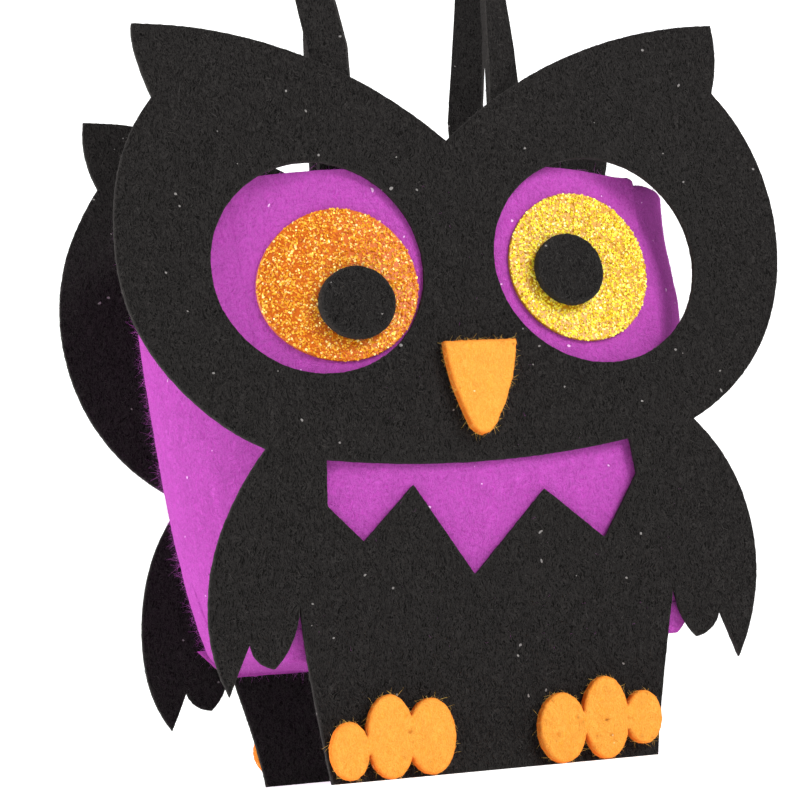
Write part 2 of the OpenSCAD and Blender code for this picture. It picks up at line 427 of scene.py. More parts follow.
def strands(name, roots, leans, lengths, radius, seed):
    """Tapered fibres, each a closed thin spike that starts inside the felt and bends as it goes."""
    rng = np.random.default_rng(seed)
    count = len(roots)
    curl = rng.normal(size=(count, 3)) * 0.45
    guide = rng.normal(size=(count, 3))
    u = np.cross(leans, guide)
    u /= np.maximum(np.linalg.norm(u, axis=1), 1e-9)[:, None]
    v = np.cross(leans, u)
    points = []
    stations = ((0.0, 1.0), (0.4, 0.85), (0.75, 0.6))
    for s, width in stations:
        middle = roots + lengths[:, None] * (s * leans + s * s * curl)
        for k in range(3):
            a = 2 * math.pi * k / 3
            points.append(middle + radius * width * (math.cos(a) * u + math.sin(a) * v))
    points.append(roots + lengths[:, None] * (leans + curl))
    stacked = np.stack(points, axis=1).reshape(-1, 3)
    faces = []
    for i in range(count):
        o = 10 * i
        foot, waist, neck = (range(o + s, o + s + 3) for s in (0, 3, 6))
        faces.append(tuple(foot)[::-1])
        faces += band(foot, waist) + band(waist, neck)
        faces += [(neck[k], neck[(k + 1) % 3], o + 9) for k in range(3)]
    return mesh_piece(name, stacked, faces)


def nap(piece, count, length, radius, seed, stand, on_walls):
    """Loose fibres scattered over a felt piece, on_walls of them on its cut edges."""
    rng = np.random.default_rng(seed)
    mesh = piece.data
    mesh.calc_loop_triangles()
    corners = np.zeros(len(mesh.loop_triangles) * 3, int)
    mesh.loop_triangles.foreach_get("vertices", corners)
    corners = corners.reshape(-1, 3)
    co = np.zeros(len(mesh.vertices) * 3)
    mesh.vertices.foreach_get("co", co)
    co = co.reshape(-1, 3)
    wall = np.zeros(len(mesh.vertices), np.float32)
    mesh.attributes["wall"].data.foreach_get("value", wall)
    a, b, c = (co[corners[:, k]] for k in range(3))
    cross = np.cross(b - a, c - a)
    area = np.linalg.norm(cross, axis=1)
    normal = cross / np.maximum(area, 1e-15)[:, None]
    at_wall = wall[corners].mean(1) > 0.3
    weight = np.where(at_wall, area * on_walls / max(area[at_wall].sum(), 1e-12),
                      area * (1 - on_walls) / max(area[~at_wall].sum(), 1e-12))
    chosen = rng.choice(len(corners), size=count, p=weight / weight.sum())
    r = rng.random((count, 2))
    r[r.sum(1) > 1] = 1 - r[r.sum(1) > 1]
    roots = a[chosen] + r[:, :1] * (b - a)[chosen] + r[:, 1:] * (c - a)[chosen]
    out = normal[chosen]
    sideways = rng.normal(size=(count, 3))
    sideways -= (sideways * out).sum(1)[:, None] * out
    sideways /= np.maximum(np.linalg.norm(sideways, axis=1), 1e-9)[:, None]
    lift = stand * rng.random(count)[:, None]
    leans = out * lift + sideways * (1 - lift)
    leans /= np.linalg.norm(leans, axis=1)[:, None]
    lengths = length * rng.uniform(0.35, 1.0, count)
    return strands(piece.name + "_nap", roots - out * radius, leans, lengths, radius, seed + 1)


# ---------------------------------------------------------------- how the felt stands


# The rear sheet lies flatter against its panel than the front one
REAR_CURVE = 0.3

# Where the front panel's left edge is drawn in or out: height, reach along the edge, distance
EDGE_DRAWS = (
    (160 * MM, 9 * MM, -1.6 * MM), (114 * MM, 20 * MM, 1.5 * MM), (71 * MM, 15 * MM, 1.6 * MM),
    (57 * MM, 12 * MM, 1.9 * MM), (42 * MM, 12 * MM, 1.0 * MM))


def pouch_half(z):
    return BASE_HALF + (RIM_HALF - BASE_HALF) * (z - BASE_Z) / (RIM_Z - BASE_Z)


def panel_bow(z):
    """How far a panel stands in from its flat place at height z. Negative is outwards."""
    belly = sizes().panel_bulge * bump(z - NECK_Z, 30 * MM)
    return sizes().foot_tuck * smooth(1 - z / (42 * MM)) - belly


def sheet_stand(x, z, end="front"):
    """How far the pouch's sheet stands in from the panel it is glued to."""
    depth = sizes().sheet_curve * (1 if end == "front" else REAR_CURVE)
    high = smooth((z - 45 * MM) / (55 * MM)) * smooth((152 * MM - z) / (20 * MM))
    out = x / RIM_HALF
    # The left side bends back late and sharply, the right side evenly
    bend = np.where(out < 0, 1.25 * out**4, 0.6 * out**2)
    return depth * bend * (0.15 + 0.85 * high)


def settled(points):
    """Lets the rear panel sink a little, and its wings droop more."""
    points = np.array(points, float)
    x, z = points[:, 0], points[:, 2]
    sag = sizes().rear_sag
    rear = smooth(points[:, 1] / (-SHEET_Y))
    ears, left_ear = smooth((z - 138 * MM) / (22 * MM)), smooth((z - 135 * MM) / (20 * MM))
    left_ear = left_ear * smooth((-x - 30 * MM) / (20 * MM))
    wings = smooth((abs(x) - 35 * MM) / (8 * MM)) * bump(z - 30 * MM, 26 * MM)
    sink = sag * smooth((z - 4 * MM) / (34 * MM)) * (1 - 0.15 * ears)
    points[:, 0] -= 0.5 * sag * rear * left_ear
    points[:, 2] -= rear * (sink + 1.4 * sag * wings)
    return points


def drawn_in(points):
    """Draws the pouch's right side in and down towards its rim."""
    points = np.array(points, float)
    x, z = points[:, 0], points[:, 2]
    near_rim = smooth((z - 95 * MM) / (30 * MM))
    points[:, 0] -= 3.6 * MM * smooth((x - 30 * MM) / (15 * MM)) * near_rim
    points[:, 2] -= 1.8 * MM * smooth((x - 22 * MM) / (24 * MM)) * near_rim
    return points


def edge_drawn(points):
    """Draws the panel's left edge in and out a little, as soft felt hangs."""
    points = np.array(points, float)
    x, z = points[:, 0], points[:, 2]
    starts = 34 * MM + 18 * MM * smooth((z - 80 * MM) / (20 * MM))
    share = smooth((-x - starts) / (12 * MM))
    for height, reach, distance in EDGE_DRAWS:
        points[:, 0] += distance * share * bump(z - height, reach)
    points[:, 2] -= 1.9 * MM * share * bump(z - 71 * MM, 14 * MM)
    return points


def panel_shaped(points):
    points = np.array(points, float)
    points[:, 1] += panel_bow(points[:, 2])
    return points


def sheet_shaped(points, end):
    points = panel_shaped(points)
    points[:, 1] += sheet_stand(points[:, 0], points[:, 2], end)
    return points


def sheet_y(x, z, end):
    """Where the front or rear sheet's middle stands, along the frame's Y."""
    y = SHEET_Y + panel_bow(z) + sheet_stand(x, z, end)
    return y if end == "front" else -y


def ride_soft(piece, node, body, nap_piece=None):
    """Puts a felt piece and its fibres in place of its CAD node."""
    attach(piece, body)
    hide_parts(node)
    if nap_piece is not None:
        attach(nap_piece, body)


def flatten(end, *pieces):
    """Gives the front sheet and what is glued to it meshes of their own."""
    if end == "front":
        for piece in pieces:
            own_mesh(piece)


def flat_size(node):
    low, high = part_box(node)
    size = high - low
    return sorted(size)[1], sorted(size)[2]


# ---------------------------------------------------------------- materials


class Tree:
    """Short calls for building a shader tree."""

    def __init__(self, tree):
        self.tree = tree

    def node(self, kind, inputs=None, **settings):
        made = self.tree.nodes.new(kind)
        for key, value in settings.items():
            setattr(made, key, value)
        for key, value in (inputs or {}).items():
            self.put(value, made.inputs[key])
        return made

    def put(self, value, socket):
        """Links or sets one input."""
        if isinstance(value, bpy.types.NodeSocket):
            self.tree.links.new(value, socket)
        else:
            socket.default_value = value

    def maths(self, operation, a, b=0.0, clamp=False):
        made = self.node("ShaderNodeMath", {0: a, 1: b}, operation=operation, use_clamp=clamp)
        return made.outputs[0]

    def times(self, a, b, clamp=False):
        return self.maths("MULTIPLY", a, b, clamp)

    def noise(self, place, scale, detail, roughness=0.5):
        """The value of a noise texture."""
        return self.node("ShaderNodeTexNoise", {
            "Vector": place, "Scale": scale, "Detail": detail, "Roughness": roughness}).outputs[0]

    def place(self):
        return self.node("ShaderNodeTexCoord").outputs["Object"]

    def feed(self, shader, **values):
        """Links or sets the shader's inputs, whose names have underscores for spaces here."""
        for key, value in values.items():
            self.put(value, shader.inputs[key.replace("_", " ")])

    def blend(self, factor, a, b):
        made = self.node("ShaderNodeMix", data_type="RGBA")
        for socket, value in (("Factor_Float", factor), ("A_Color", a), ("B_Color", b)):
            self.put(value, next(s for s in made.inputs if s.identifier == socket))
        return next(s for s in made.outputs if s.identifier == "Result_Color")


def group(name, inputs, outputs):
    """An empty shader group: its tree, its inputs and the node that takes its outputs."""
    made = bpy.data.node_groups.new(name, "ShaderNodeTree")
    for label, low, high, default in inputs:
        socket = made.interface.new_socket(label, in_out="INPUT", socket_type="NodeSocketFloat")
        socket.default_value, socket.min_value, socket.max_value = default, low, high
    for label in outputs:
        made.interface.new_socket(label, in_out="OUTPUT", socket_type="NodeSocketFloat")
    tree = Tree(made)
    return tree, tree.node("NodeGroupInput").outputs, tree.node("NodeGroupOutput")


def felt_fibres_group():
    """Needled felt: pale fibres, a fine grain, a slow mottle, lint specks and a height."""
    name = "needled_felt"
    if name in bpy.data.node_groups:
        return bpy.data.node_groups[name]
    tree, given, out = group(
        name, [("Fineness", 50, 5000, 1900.0)], ["Fibres", "Grain", "Mottle", "Specks", "Height"])
    place = tree.place()
    drift = tree.node("ShaderNodeTexNoise", {"Vector": place, "Scale": 260.0, "Detail": 2.0})
    shift = tree.node(
        "ShaderNodeVectorMath", {0: drift.outputs["Color"], 1: (0.5, 0.5, 0.5)}, operation="SUBTRACT")
    shift = tree.node("ShaderNodeVectorMath", {0: shift.outputs[0], "Scale": 0.003}, operation="SCALE")
    bent = tree.node("ShaderNodeVectorMath", {0: place, 1: shift.outputs[0]}, operation="ADD")
    lines = []
    for turn, seed in (((0.2, 0.3, 0.5), 0.0), ((0.5, 1.2, 1.1), 3.1), ((-0.4, 2.2, 0.9), 6.3)):
        turned = tree.node(
            "ShaderNodeMapping",
            {"Vector": bent.outputs[0], "Rotation": turn, "Scale": (1.0, 1.0, 0.28)})
        grain = tree.node(
            "ShaderNodeTexNoise",
            {"Vector": turned.outputs[0], "Scale": given["Fineness"], "Detail": 2.0, "Roughness": 0.6},
            noise_dimensions="4D")
        grain.inputs["W"].default_value = seed
        ridge = tree.maths("ABSOLUTE", tree.maths("SUBTRACT", grain.outputs[0], 0.5))
        lines.append(tree.maths("SUBTRACT", 1.0, tree.times(ridge, 24.0), clamp=True))
    fibres = tree.maths("MAXIMUM", tree.maths("MAXIMUM", lines[0], lines[1]), lines[2])
    fine = tree.noise(bent.outputs[0], 1300.0, 3.0, 0.75)
    fine = tree.times(tree.maths("SUBTRACT", fine, 0.33), 2.9, clamp=True)
    mottle = tree.noise(place, 220.0, 4.0, 0.7)
    cells = tree.node("ShaderNodeTexVoronoi", {"Vector": bent.outputs[0], "Scale": 520.0})
    near = tree.maths("LESS_THAN", cells.outputs["Distance"], 0.16)
    parts = tree.node("ShaderNodeSeparateColor", {0: cells.outputs["Color"]})
    specks = tree.times(near, tree.maths("GREATER_THAN", parts.outputs[0], 0.955))
    height = tree.maths(
        "ADD", tree.times(fibres, 0.5),
        tree.maths("ADD", tree.times(fine, 0.5), mottle))
    tree.feed(out, Fibres=fibres, Grain=fine, Mottle=mottle, Specks=specks, Height=height)
    return tree.tree


def new_material(name):
    material = bpy.data.materials.new(name)
    material.use_nodes = True
    tree = Tree(material.node_tree)
    return material, tree, material.node_tree.nodes["Principled BSDF"]


def rgba(values):
    return (*values, 1.0)


def felt(name, ground, fibre, cut, speck, fibre_share=0.5, contrast=0.5, relief=0.5, sheen=0.0):
    """Felt: a grain, paler fibres and lint specks, and painted light and shade on its cut edges in the
    given edge colour.
    """
    if name in bpy.data.materials:
        return bpy.data.materials[name]
    material, tree, shader = new_material(name)
    weave = tree.node("ShaderNodeGroup", node_tree=felt_fibres_group())
    deep = [(1 - contrast) * c for c in ground]
    light = [min(1.0, (1 + 0.6 * contrast) * c) for c in ground]
    mottle, grain = weave.outputs["Mottle"], weave.outputs["Grain"]
    spread = tree.times(tree.maths("SUBTRACT", mottle, 0.30), 2.5, clamp=True)
    cloud = tree.maths("ADD", tree.times(grain, 0.72), tree.times(spread, 0.28), clamp=True)
    base = tree.blend(cloud, rgba(deep), rgba(light))
    base = tree.blend(tree.times(weave.outputs["Fibres"], fibre_share), base, rgba(fibre))
    # Painted light and shade: the cut colour is mixed in where the wall mask marks the felt's sides, a
    # painted highlight on black felt and painted shade on orange
    wall = tree.node("ShaderNodeAttribute", attribute_name="wall").outputs["Fac"]
    edge = tree.times(wall, tree.maths("ADD", tree.times(grain, 0.5), 0.4))
    base = tree.blend(edge, base, rgba(cut))
    base = tree.blend(tree.times(weave.outputs["Specks"], 0.8), base, rgba(speck))
    raised = tree.node(
        "ShaderNodeBump", {"Height": weave.outputs["Height"], "Strength": relief, "Distance": 0.0006})
    rough = tree.node("ShaderNodeMapRange", {
        "Value": mottle, "From Min": 0.3, "From Max": 0.7, "To Min": 0.88, "To Max": 1.0})
    tree.feed(
        shader, Base_Color=base, Normal=raised.outputs[0], Roughness=rough.outputs[0],
        Specular_IOR_Level=0.04, Sheen_Weight=sheen, Sheen_Roughness=0.4, Sheen_Tint=rgba(fibre))
    return material


def black_felt():
    c = colours()
    # Painted highlight: the black felt's cut edges get the paler fibre colour, standing in for the
    # light they catch
    return felt("black_needled_felt", c.black, c.black_fibre, c.black_fibre[:],
                (0.35, 0.33, 0.32), fibre_share=0.55, contrast=0.72, relief=0.8)


def purple_felt():
    c = colours()
    return felt("purple_needled_felt", c.purple, c.purple_fibre, c.purple[:], (0.9, 0.6, 0.9),
                fibre_share=0.45, contrast=0.36, relief=0.6, sheen=0.10)


def orange_felt():
    c = colours()
    # The orange felt's cut edges get the deeper orange as painted shade
    return felt("orange_needled_felt", c.orange, c.orange_fibre, c.orange_edge_shade[:], (1.0, 0.75, 0.4),
                fibre_share=0.5, contrast=0.22, relief=0.55)


def fibre_material(name, tint):
    """Loose fibres, each paler or deeper along its length."""
    if name in bpy.data.materials:
        return bpy.data.materials[name]
    material, tree, shader = new_material(name)
    deep, light = [0.6 * v for v in tint], [min(1, 1.5 * v) for v in tint]
    base = tree.blend(tree.noise(tree.place(), 900.0, 1.0), rgba(deep), rgba(light))
    tree.feed(shader, Base_Color=base, Roughness=0.8, Specular_IOR_Level=0.1)
    return material


def dress(piece, material):
    piece.data.materials.clear()
    piece.data.materials.append(material)


FELTS = {"black": black_felt, "purple": purple_felt, "orange": orange_felt}


def finish_felt(piece, kind, count, length, radius, seed, stand, on_walls):
    """Dresses a felt piece, and gives it loose fibres of the same felt."""
    c = colours()
    dress(piece, FELTS[kind]())
    loose = nap(piece, count, length, radius, seed, stand, on_walls)
    tint = {"black": [1.5 * v for v in c.black_fibre], "purple": c.purple_fibre[:],
            "orange": c.orange_fibre[:]}[kind]
    dress(loose, fibre_material(kind + "_fibre", tint))
    return loose


def glitter_material(name, ramp):
    """Glitter flakes: each flake its own tint, with a hard bright gloss."""
    if name in bpy.data.materials:
        return bpy.data.materials[name]
    material, tree, shader = new_material(name)
    flake = tree.node("ShaderNodeAttribute", attribute_name="flake").outputs["Fac"]
    tints = tree.node("ShaderNodeValToRGB", {"Fac": flake})
    tints.color_ramp.interpolation = "CONSTANT"
    elements = tints.color_ramp.elements
    while len(elements) < len(ramp):
        elements.new(0.5)
    for element, (at, tint) in zip(elements, ramp):
        element.position, element.color = at, rgba(tint)
    grain = tree.noise(tree.place(), 1400.0, 2.0)
    shade = tree.blend(tree.times(grain, 0.2), tints.outputs[0], rgba(ramp[0][1]))
    metal = tree.times(tree.maths("GREATER_THAN", flake, 0.5), 0.22)
    rough = tree.node("ShaderNodeMapRange", {"Value": grain, "To Min": 0.22, "To Max": 0.5})
    raised = tree.node("ShaderNodeBump", {"Height": grain, "Strength": 0.3, "Distance": 0.0001})
    tree.feed(
        shader, Base_Color=shade, Metallic=metal, Roughness=rough.outputs[0],
        Normal=raised.outputs[0], Specular_IOR_Level=0.3)
    return material


# ---------------------------------------------------------------- panels


class OWLBAG_OT_panels(bpy.types.Operator):
    """Make the front and rear owl panels of black felt"""

    bl_idname = "owl_bag.panels"
    bl_label = "Owl panels"

    def execute(self, context):
        step = context.scene.owl_bag_sizes.felt_step / MM
        for end in ENDS:
            node = f"{end}_panel"
            seed = 11 if end == "front" else 23
            points, faces, wall = felt_plate(node, end, 0.35, 0.8, step, seed)
            flat = points.copy()
            shaped = panel_shaped(edge_drawn(points) if end == "front" else points)
            points = settled(in_world(shaped, end))
            piece = mesh_piece(f"{end}_owl_panel", points, faces, wall)
            loose = finish_felt(piece, "black", 5200, 1.1 * MM, 0.032 * MM, seed, 0.25, 0.45)
            ride_soft(piece, node, end, loose)
        return {"FINISHED"}


# ---------------------------------------------------------------- pouch


def round_corner(rise, radius):
    """How far a corner of that radius draws an edge in, at a height above its lowest point."""
    rise = np.clip(rise, 0, radius)
    return radius - np.sqrt(np.maximum(radius**2 - (radius - rise) ** 2, 0))


def pouch_wall(end):
    """The sheet behind a panel, as local middle points."""
    rim_round, inset_edge = 1.2 * MM, 0.4 * MM
    z = np.linspace(SHEET_FOOT_Z, RIM_Z, 90)
    quarter = np.linspace(0, math.pi / 2, 16)
    z = np.concatenate([z[:-14], RIM_Z - rim_round * (1 - np.sin(quarter))])
    across = np.linspace(-1, 1, 90)
    half = pouch_half(z) - round_corner(RIM_Z - z, rim_round) - inset_edge
    x = half[:, None] * across[None, :]
    zz = np.repeat(z[:, None], len(across), axis=1)
    grid = np.stack([x, np.full_like(x, SHEET_Y), zz], axis=2)
    return grid


def side_swell(height):
    """How far the pouch's side stands out at mid-depth: a little at its foot, more higher up."""
    bulge = sizes().side_bulge
    foot_swell = 6.6 * MM
    rise = (height - BASE_Z) / (RIM_Z - BASE_Z)
    return foot_swell + (bulge - foot_swell) * (1 - math.exp(-rise / 0.25))


# How many columns of a side sheet's points lie tucked under the front or rear sheet
TUCKED = 5


def gusset_grid(side, end):
    """Half of a side sheet, from its panel to the crease, as middle points in the frame."""
    sign = -1 if end == "front" else 1
    turn = side if end == "front" else -side
    # The strip glued under the front or rear sheet, and the corner where it comes out
    under, corner_x, inside_gap = 2.0 * MM, 1.4 * MM, 0.06 * MM
    foot_round, foot_z, top_z = 4.5 * MM, BASE_Z + 0.5 * MM, RIM_Z - 1.2 * MM
    # How far outwards the corner swings before the sheet turns along the side
    corner_reach = (3 if end == "front" else 7) * MM
    z = np.concatenate([
        foot_z + foot_round * (1 - np.cos(np.linspace(0, math.pi / 2, 8)))[:-1],
        np.linspace(foot_z + foot_round, top_z, 74)])
    t = np.linspace(0, 1, 34)[:, None]
    grid = np.zeros((len(z), TUCKED + len(t), 3))
    along = np.concatenate([np.zeros(TUCKED), t[:, 0]])
    # The rim drops at the front or rear sheet's corner, and the foot rises away from it
    drop = 0.8 * MM * (1 - smooth(along / 0.45))
    lift = 1.5 * MM * smooth(along / 0.2)
    # Where the side sheet starts to run straight back
    swing = 15 * MM
    for i, h in enumerate(z):
        half = pouch_half(h) - 0.8 * MM
        swell = side_swell(h)
        under_x = half - under + (under - corner_x) * np.linspace(0, 1, TUCKED + 1)[:-1]
        tucked = np.stack([under_x, sheet_y(turn * under_x, h, end) - sign * inside_gap], axis=1)
        start_x = half - corner_x
        start = np.array([start_x, sheet_y(turn * start_x, h, end) - sign * inside_gap])
        ahead = np.array([half, sheet_y(turn * half, h, end)]) - start
        corner = start + ahead / np.linalg.norm(ahead) * corner_reach
        lean = np.array([half + swell, sign * swing])
        finish = np.array([half + swell, sign * CREASE_GAP])
        path = np.concatenate([tucked, bezier(t, start, corner, lean, finish)])
        path[:, 0] -= round_corner(h - foot_z, foot_round)
        grid[i, :, 0] = side * path[:, 0]
        grid[i, :, 1] = path[:, 1]
        fall, rise = smooth((h - 105 * MM) / (22 * MM)), 1 - smooth((h - foot_z) / (30 * MM))
        grid[i, :, 2] = h - drop * fall + lift * rise
    return grid


def base_grid(end):
    """Half of the base, from its tab to the crease, as middle points in the frame."""
    sign = -1 if end == "front" else 1
    start = -sign * (SHEET_Y + panel_bow(BASE_Z + POUCH_T / 2))
    across, t = np.linspace(-1, 1, 60), np.linspace(0, 1, 24)
    # The base ends at the lowest edges of the side sheets
    foots = [gusset_grid(side, end)[0, TUCKED:] for side in (-1, 1)]
    grid = np.zeros((len(t), len(across), 3))
    for i, b in enumerate(t):
        y = start + (sign * CREASE_GAP - start) * b
        left, right = (float(np.interp(-sign * y, -sign * foot[:, 1], foot[:, 0])) for foot in foots)
        edge_z = float(np.interp(-sign * y, -sign * foots[0][:, 1], foots[0][:, 2]))
        grid[i, :, 0] = (left + right) / 2 + across * (right - left) / 2
        grid[i, :, 1] = y
        middle_z = BASE_Z + POUCH_T / 2 - 0.8 * MM * b
        grid[i, :, 2] = middle_z + (edge_z - middle_z) * across**4
    return grid


def wavy(grid, amount, seed):
    """The sheet with the slight lumps of soft felt."""
    flat = grid.reshape(-1, 3)
    normal = np.cross(np.gradient(grid, axis=1), np.gradient(grid, axis=0)).reshape(-1, 3)
    normal /= np.maximum(np.linalg.norm(normal, axis=1), 1e-12)[:, None]
    lumps = np.array([
        noise.fractal(Vector(p) * 60 + Vector((seed, 0, 0)), 0.8, 2.0, 3) for p in flat])
    return (flat + normal * (amount * lumps)[:, None]).reshape(grid.shape)


class OWLBAG_OT_pouch(bpy.types.Operator):
    """Make the purple pouch: front and rear walls, base tabs, side sheets and base"""

    bl_idname = "owl_bag.pouch"
    bl_label = "Pouch"

    def execute(self, context):
        for end in ENDS:
            self.wall(end)
            self.tab(end)
            self.base(end)
            for side_name, side in SIDES.items():
                self.gusset(side_name, side, end)
        return {"FINISHED"}

    def finish_piece(self, piece, node, body, count, seed, held=None, flat=None, rests_on=()):
        loose = finish_felt(piece, "purple", count, sizes().fibre_length, 0.017 * MM, seed, 0.7, 0.3)
        ride_soft(piece, node, body, loose)

    def wall(self, end):
        grid = wavy(pouch_wall(end), 0.25 * MM, 5)
        points, faces, wall = felt_shell(grid, POUCH_T)
        points = drawn_in(in_world(sheet_shaped(points, end), end))
        piece = mesh_piece(f"{end}_pouch_wall", points, faces, wall)
        node = f"{end}_pouch_sheet"
        self.finish_piece(
            piece, node, end, 3600, 31, "stretched", flat_size(node), [f"{end}_owl_panel"])
        flatten(end, piece, bpy.data.objects[piece.name + "_nap"])

    def tab(self, end):
        node = f"{end}_base_tab"
        points, faces, wall = felt_plate(node, end, 0.4, 0.8, 1.6, 41)
        points = in_world(sheet_shaped(points, end), end)
        piece = mesh_piece(f"{end}_glue_tab", points, faces, wall)
        self.finish_piece(piece, node, end, 500, 43)

    def base(self, end):
        grid = wavy(base_grid(end), 0.15 * MM, 9)
        points, faces, wall = felt_shell(grid, POUCH_T)
        piece = mesh_piece(f"{end}_base", points, faces, wall)
        node = f"base_{end}_half"
        self.finish_piece(
            piece, node, f"base_{end}", 700, 53, "stretched", flat_size(node), [f"{end}_glue_tab"])

    def gusset(self, side_name, side, end):
        node = f"gusset_{side_name}_{end}"
        grid = wavy(gusset_grid(side, end), 0.3 * MM, 3 * side)
        points, faces, wall = felt_shell(grid, POUCH_T)
        piece = mesh_piece(f"{side_name}_side_{end}", drawn_in(points), faces, wall)
        self.finish_piece(
            piece, node, node, 5200, 61, "folded", flat_size(node), [f"{end}_pouch_wall"])
        for part in (piece, bpy.data.objects[piece.name + "_nap"]):
            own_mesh(part)


# ---------------------------------------------------------------- eyes


ORANGE_GLITTER = (
    (0.0, (0.50, 0.10, 0.002)), (0.18, (0.68, 0.22, 0.004)), (0.42, (0.78, 0.36, 0.012)),
    (0.68, (0.90, 0.54, 0.06)), (0.90, (1.0, 0.84, 0.32)))
GOLD_GLITTER = (
    (0.0, (0.48, 0.22, 0.004)), (0.14, (0.76, 0.50, 0.010)), (0.34, (0.90, 0.76, 0.035)),
    (0.66, (0.98, 0.92, 0.11)), (0.88, (1.0, 0.98, 0.42)))


def disc_of(node, end):
    """Local middle, radius and outer face of a disc in the frame, in metres."""
    low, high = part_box(node)
    middle, radius = (low + high) / 2, (high.x - low.x) / 2
    if end == "front":
        return middle.x, middle.z, radius, low.y, high.y
    return -middle.x, middle.z, radius, -high.y, -low.y


def plain_disc(x0, z0, radius, face_y, inner):
    """Points and faces of the disc under the flakes."""
    rings, spokes = 9, 72
    profile = [(radius * k / rings, face_y) for k in range(1, rings)]
    profile += [(radius - 0.15 * MM, face_y), (radius, face_y + 0.2 * MM)]
    profile += [(radius, inner - 0.1 * MM), (radius - 0.2 * MM, inner)]
    points, faces = [(x0, face_y, z0), (x0, inner, z0)], []
    for r, y in profile:
        for k in range(spokes):
            a = 2 * math.pi * k / spokes
            points.append((x0 + r * math.cos(a), y, z0 + r * math.sin(a)))
    starts = [2 + spokes * ring for ring in range(len(profile))]
    for k in range(spokes):
        m = (k + 1) % spokes
        faces.append((0, starts[0] + m, starts[0] + k))
        faces.append((1, starts[-1] + k, starts[-1] + m))
        faces += [(near + k, near + m, far + m, far + k) for near, far in zip(starts, starts[1:])]
    return points, faces


def glitter_disc(node, end, seed):
    """Local points, faces and tints of a disc covered in tilted six-sided flakes."""
    size = sizes().glitter_size
    flake_t, sunk, tilt_by = 0.12 * MM, 0.02 * MM, 0.55
    x0, z0, radius, outer, inner = disc_of(node, end)
    face_y = outer + 0.25 * MM
    points, faces = plain_disc(x0, z0, radius, face_y, inner)
    tints = [0.1] * len(points)
    rng = np.random.default_rng(seed)
    count = int(1.6 * (radius / size) ** 2)
    reach = radius * np.sqrt(rng.random(count)) * 0.995
    angle = 2 * math.pi * rng.random(count)
    for r, a in zip(reach, angle):
        big = size * rng.uniform(0.55, 1.25)
        tilt = Matrix.Rotation(rng.normal() * tilt_by, 3, "X")
        tilt = tilt @ Matrix.Rotation(rng.normal() * tilt_by, 3, "Z")
        spin, tint = rng.random() * math.pi, rng.random()
        depth = face_y - 0.10 * MM * rng.random()
        centre = Vector((x0 + r * math.cos(a), depth, z0 + r * math.sin(a)))
        first = len(points)
        for y in (-sunk, flake_t - sunk):
            for k in range(6):
                b = spin + math.pi * k / 3
                corner = Vector((big * math.cos(b), y, big * math.sin(b)))
                points.append(tuple(centre + tilt @ corner))
        faces.append(tuple(range(first, first + 6)))
        faces.append(tuple(range(first + 6, first + 12))[::-1])
        faces += band(range(first, first + 6), range(first + 6, first + 12), flip=True)
        tints += [tint] * 12
    return np.array(points), faces, tints


class OWLBAG_OT_eyes(bpy.types.Operator):
    """Make the glitter discs and the felt pupils of both sides"""

    bl_idname = "owl_bag.eyes"
    bl_label = "Eyes"

    def execute(self, context):
        for end in ENDS:
            for side_name in SIDES:
                self.iris(end, side_name)
                self.pupil(end, side_name)
        return {"FINISHED"}

    def iris(self, end, side_name):
        node = f"{end}_iris_{side_name}"
        orange = (end == "front") == (side_name == "left")
        points, faces, tints = glitter_disc(node, end, 71 if orange else 73)
        points = in_world(sheet_shaped(points, end), end)
        piece = mesh_piece(f"{end}_{side_name}_glitter_disc", points, faces)
        piece.data.polygons.foreach_set("use_smooth", [False] * len(piece.data.polygons))
        layer = piece.data.attributes.new("flake", "FLOAT", "POINT")
        layer.data.foreach_set("value", np.array(tints, np.float32))
        slot = "orange_glitter" if orange else "gold_glitter"
        dress(piece, glitter_material(slot + "_flakes", ORANGE_GLITTER if orange else GOLD_GLITTER))
        ride_soft(piece, node, end)
        flatten(end, piece)

    def pupil(self, end, side_name):
        node = f"{end}_pupil_{side_name}"
        points, faces, wall = felt_plate(node, end, 0.8, 0.5, 0.8, 83, waver=0.12, relief=0.22)
        points = in_world(sheet_shaped(points, end), end)
        piece = mesh_piece(f"{end}_{side_name}_pupil", points, faces, wall)
        loose = finish_felt(piece, "black", 420, 1.1 * MM, 0.032 * MM, 85, 0.4, 0.5)
        ride_soft(piece, node, end, loose)
        flatten(end, piece, loose)


# ---------------------------------------------------------------- trim


class OWLBAG_OT_trim(bpy.types.Operator):
    """Make the beaks and feet of thick orange felt"""

    bl_idname = "owl_bag.trim"
    bl_label = "Beaks and feet"

    def execute(self, context):
        for end in ENDS:
            for part, name in (
                    ("beak", "felt_beak"), ("foot_left", "left_foot"), ("foot_right", "right_foot")):
                node = f"{end}_{part}"
                points, faces, wall = felt_plate(
                    node, end, 0.7, 0.5, 0.62, 91, waver=0.14, relief=0.20, dimples=0.9)
                points = settled(in_world(panel_shaped(points), end))
                piece = mesh_piece(f"{end}_{name}", points, faces, wall)
                loose = finish_felt(piece, "orange", 420, 1.5 * MM, 0.03 * MM, 93, 0.6, 0.7)
                ride_soft(piece, node, end, loose)
        return {"FINISHED"}


# ---------------------------------------------------------------- handles


# How far the top of each handle leans to one side
HANDLE_LEANS = {"front": -8 * MM, "rear": -6 * MM}
# The loop flares a little as it leaves the rim, and more towards its top
LOW_FLARE, LOW_FLARE_RISE, TOP_FLARE = 2.5 * MM, 34 * MM, 8 * MM
# How far the strap has turned edgewise where its loop starts
FOOT_TURN = math.radians(25)


